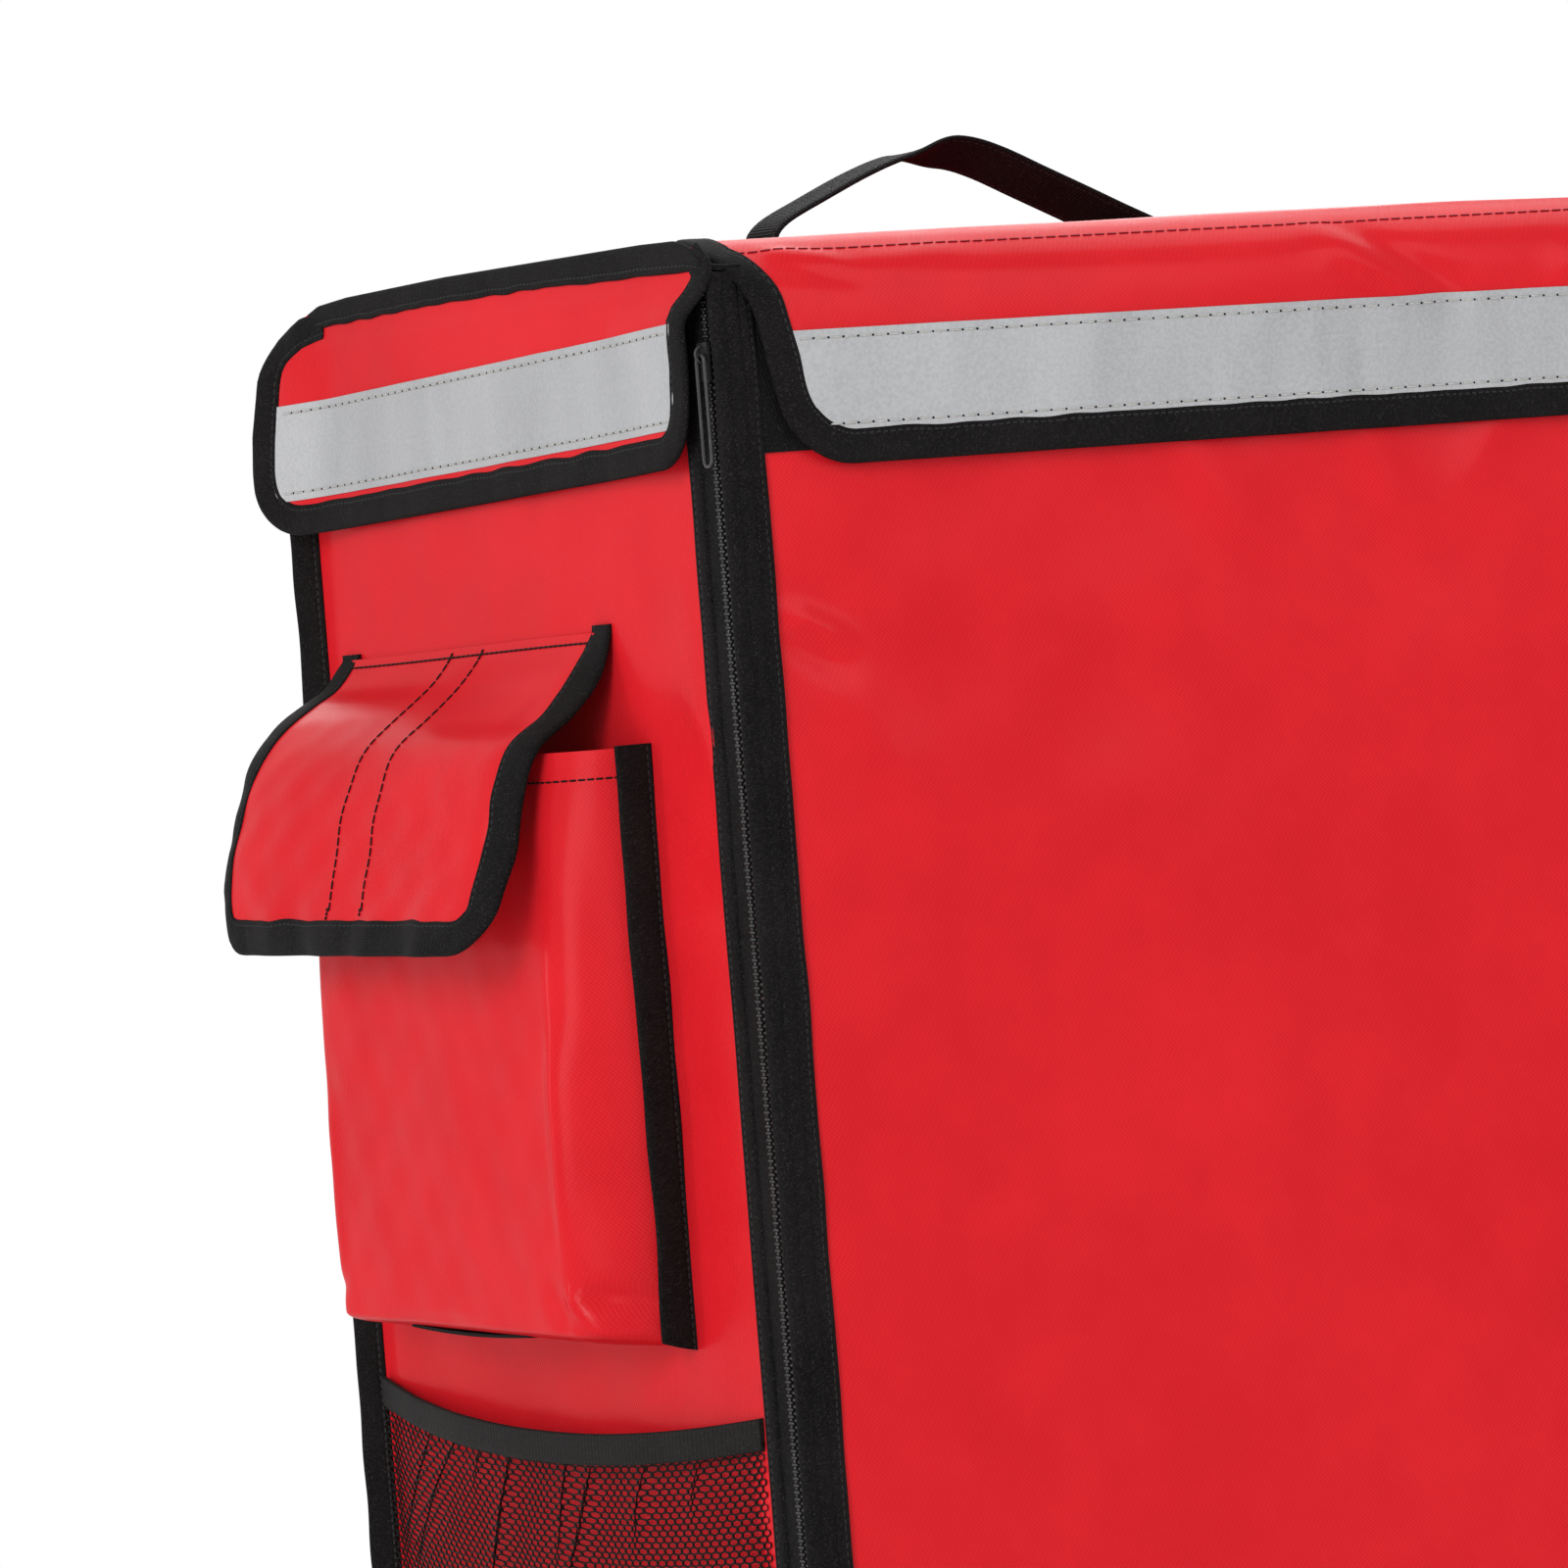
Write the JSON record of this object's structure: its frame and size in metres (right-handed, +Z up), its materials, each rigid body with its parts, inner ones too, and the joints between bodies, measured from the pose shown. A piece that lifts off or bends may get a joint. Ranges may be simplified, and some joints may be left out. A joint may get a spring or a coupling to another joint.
{
  "type": "food delivery backpack",
  "caption": "Upright insulated delivery backpack with a lid that drapes over it, a fold-down zipped front, a bellows side pocket, net pockets and shoulder straps.",
  "frame": {"origin": "middle of the base, on the surface it stands on", "axes": "+Z up, -Y towards the front panel, +Y towards the wearer's back, -X towards the side with the bellows pocket"},
  "size_m": [0.4931, 0.4548, 0.651],
  "materials": {
    "red_tarpaulin": "red coated tarpaulin, satin, with a fine woven emboss",
    "black_binding": "black woven binding tape",
    "insulation_foam": "closed cell foam board",
    "base_stiffener": "hollow stiffener board with foam",
    "foil_lining": "bright foil laminate",
    "reflective_strip": "grey retroreflective tape",
    "black_webbing": "black polypropylene webbing",
    "black_net": "black hexagonal netting",
    "black_air_mesh": "black padded air mesh",
    "black_plastic": "moulded black plastic",
    "zip_metal": "black painted metal"
  },
  "bodies": {
    "shell": {"base_panel": "red_tarpaulin", "base_board": "base_stiffener", "base_binding": "black_binding", "left_panel": "red_tarpaulin", "right_panel": "red_tarpaulin", "back_panel": "red_tarpaulin", "left_board": "insulation_foam", "right_board": "insulation_foam", "back_board": "insulation_foam", "foil_lining": "foil_lining", "back_left_binding": "black_binding", "back_right_binding": "black_binding", "left_zip_tape": "black_binding", "right_zip_tape": "black_binding", "side_pocket": "red_tarpaulin", "pocket_front_binding": "black_binding", "pocket_back_binding": "black_binding", "left_net_pocket": "black_net", "left_net_band": "black_binding", "right_net_pocket": "black_net", "right_net_band": "black_binding", "back_pad_left": "black_air_mesh", "back_pad_right": "black_air_mesh", "strap_yoke": "black_webbing", "shoulder_strap_left": "black_air_mesh", "shoulder_strap_right": "black_air_mesh", "ladder_lock_left": "black_plastic", "ladder_lock_right": "black_plastic", "lower_webbing_left": "black_webbing", "lower_webbing_right": "black_webbing"},
    "lid": {"lid_panel": "red_tarpaulin", "lid_board": "insulation_foam", "lid_lining": "foil_lining", "lid_left_binding": "black_binding", "lid_right_binding": "black_binding", "handle_tail_left": "black_webbing", "handle_tail_right": "black_webbing"},
    "handle": {"carry_handle": "black_webbing"},
    "front_flap": {"front_flap": "red_tarpaulin", "front_flap_binding": "black_binding", "front_flap_strip": "reflective_strip", "front_hook_strip": "black_binding"},
    "left_flap": {"left_flap": "red_tarpaulin", "left_flap_binding": "black_binding", "left_flap_strip": "reflective_strip"},
    "right_flap": {"right_flap": "red_tarpaulin", "right_flap_binding": "black_binding", "right_flap_strip": "reflective_strip"},
    "front_panel": {"front_panel": "red_tarpaulin", "front_board": "insulation_foam", "front_lining": "foil_lining", "front_left_zip_tape": "black_binding", "front_right_zip_tape": "black_binding", "front_loop_strip": "black_binding"},
    "pocket_flap": {"pocket_flap": "red_tarpaulin", "pocket_flap_binding": "black_binding"},
    "left_zip_slider": {"left_zip_slider": "zip_metal"},
    "left_zip_puller": {"left_zip_puller": "zip_metal"},
    "right_zip_slider": {"right_zip_slider": "zip_metal"},
    "right_zip_puller": {"right_zip_puller": "zip_metal"}
  },
  "joints": [
    {"name": "lid_hinge", "type": "hinge", "parent": "shell", "child": "lid", "pos_m": [0, 0.1778, 0.6094], "axis": [-1, 0, 0], "range_deg": [0, 180]},
    {"name": "front_flap_lift", "type": "hinge", "parent": "lid", "child": "front_flap", "pos_m": [0, -0.1823, 0.6085], "axis": [-1, 0, 0], "range_deg": [0, 150]},
    {"name": "left_flap_lift", "type": "hinge", "parent": "lid", "child": "left_flap", "pos_m": [-0.2114, 0, 0.5977], "axis": [0, 1, 0], "range_deg": [0, 150]},
    {"name": "right_flap_lift", "type": "hinge", "parent": "lid", "child": "right_flap", "pos_m": [0.2114, 0, 0.5977], "axis": [0, -1, 0], "range_deg": [0, 150]},
    {"name": "handle_flop", "type": "hinge", "parent": "lid", "child": "handle", "pos_m": [0, 0, 0.6185], "axis": [1, 0, 0], "range_deg": [-75, 75], "stiffness_Nm_per_rad": 0.02},
    {"name": "front_panel_fold", "type": "hinge", "parent": "shell", "child": "front_panel", "pos_m": [0, -0.1796, 0.0123], "axis": [1, 0, 0], "range_deg": [0, 90], "deforming": ["front_flap", "front_flap_binding", "front_flap_strip", "front_hook_strip"]},
    {"name": "pocket_flap_lift", "type": "hinge", "parent": "shell", "child": "pocket_flap", "pos_m": [-0.2068, 0, 0.4735], "axis": [0, 1, 0], "range_deg": [-4, 100], "stiffness_Nm_per_rad": 0.1, "springref_deg": 1.66},
    {"name": "left_zip_travel", "type": "slide", "parent": "shell", "child": "left_zip_slider", "axis": [0, 0, 1], "range_m": [-0.512, 0]},
    {"name": "left_puller_swing", "type": "hinge", "parent": "left_zip_slider", "child": "left_zip_puller", "pos_m": [-0.2106, -0.172, 0.57], "axis": [0, 1, 0], "range_deg": [0, 110]},
    {"name": "right_zip_travel", "type": "slide", "parent": "shell", "child": "right_zip_slider", "axis": [0, 0, 1], "range_m": [-0.512, 0]},
    {"name": "right_puller_swing", "type": "hinge", "parent": "right_zip_slider", "child": "right_zip_puller", "pos_m": [0.2106, -0.172, 0.57], "axis": [0, -1, 0], "range_deg": [0, 110]}
  ]
}
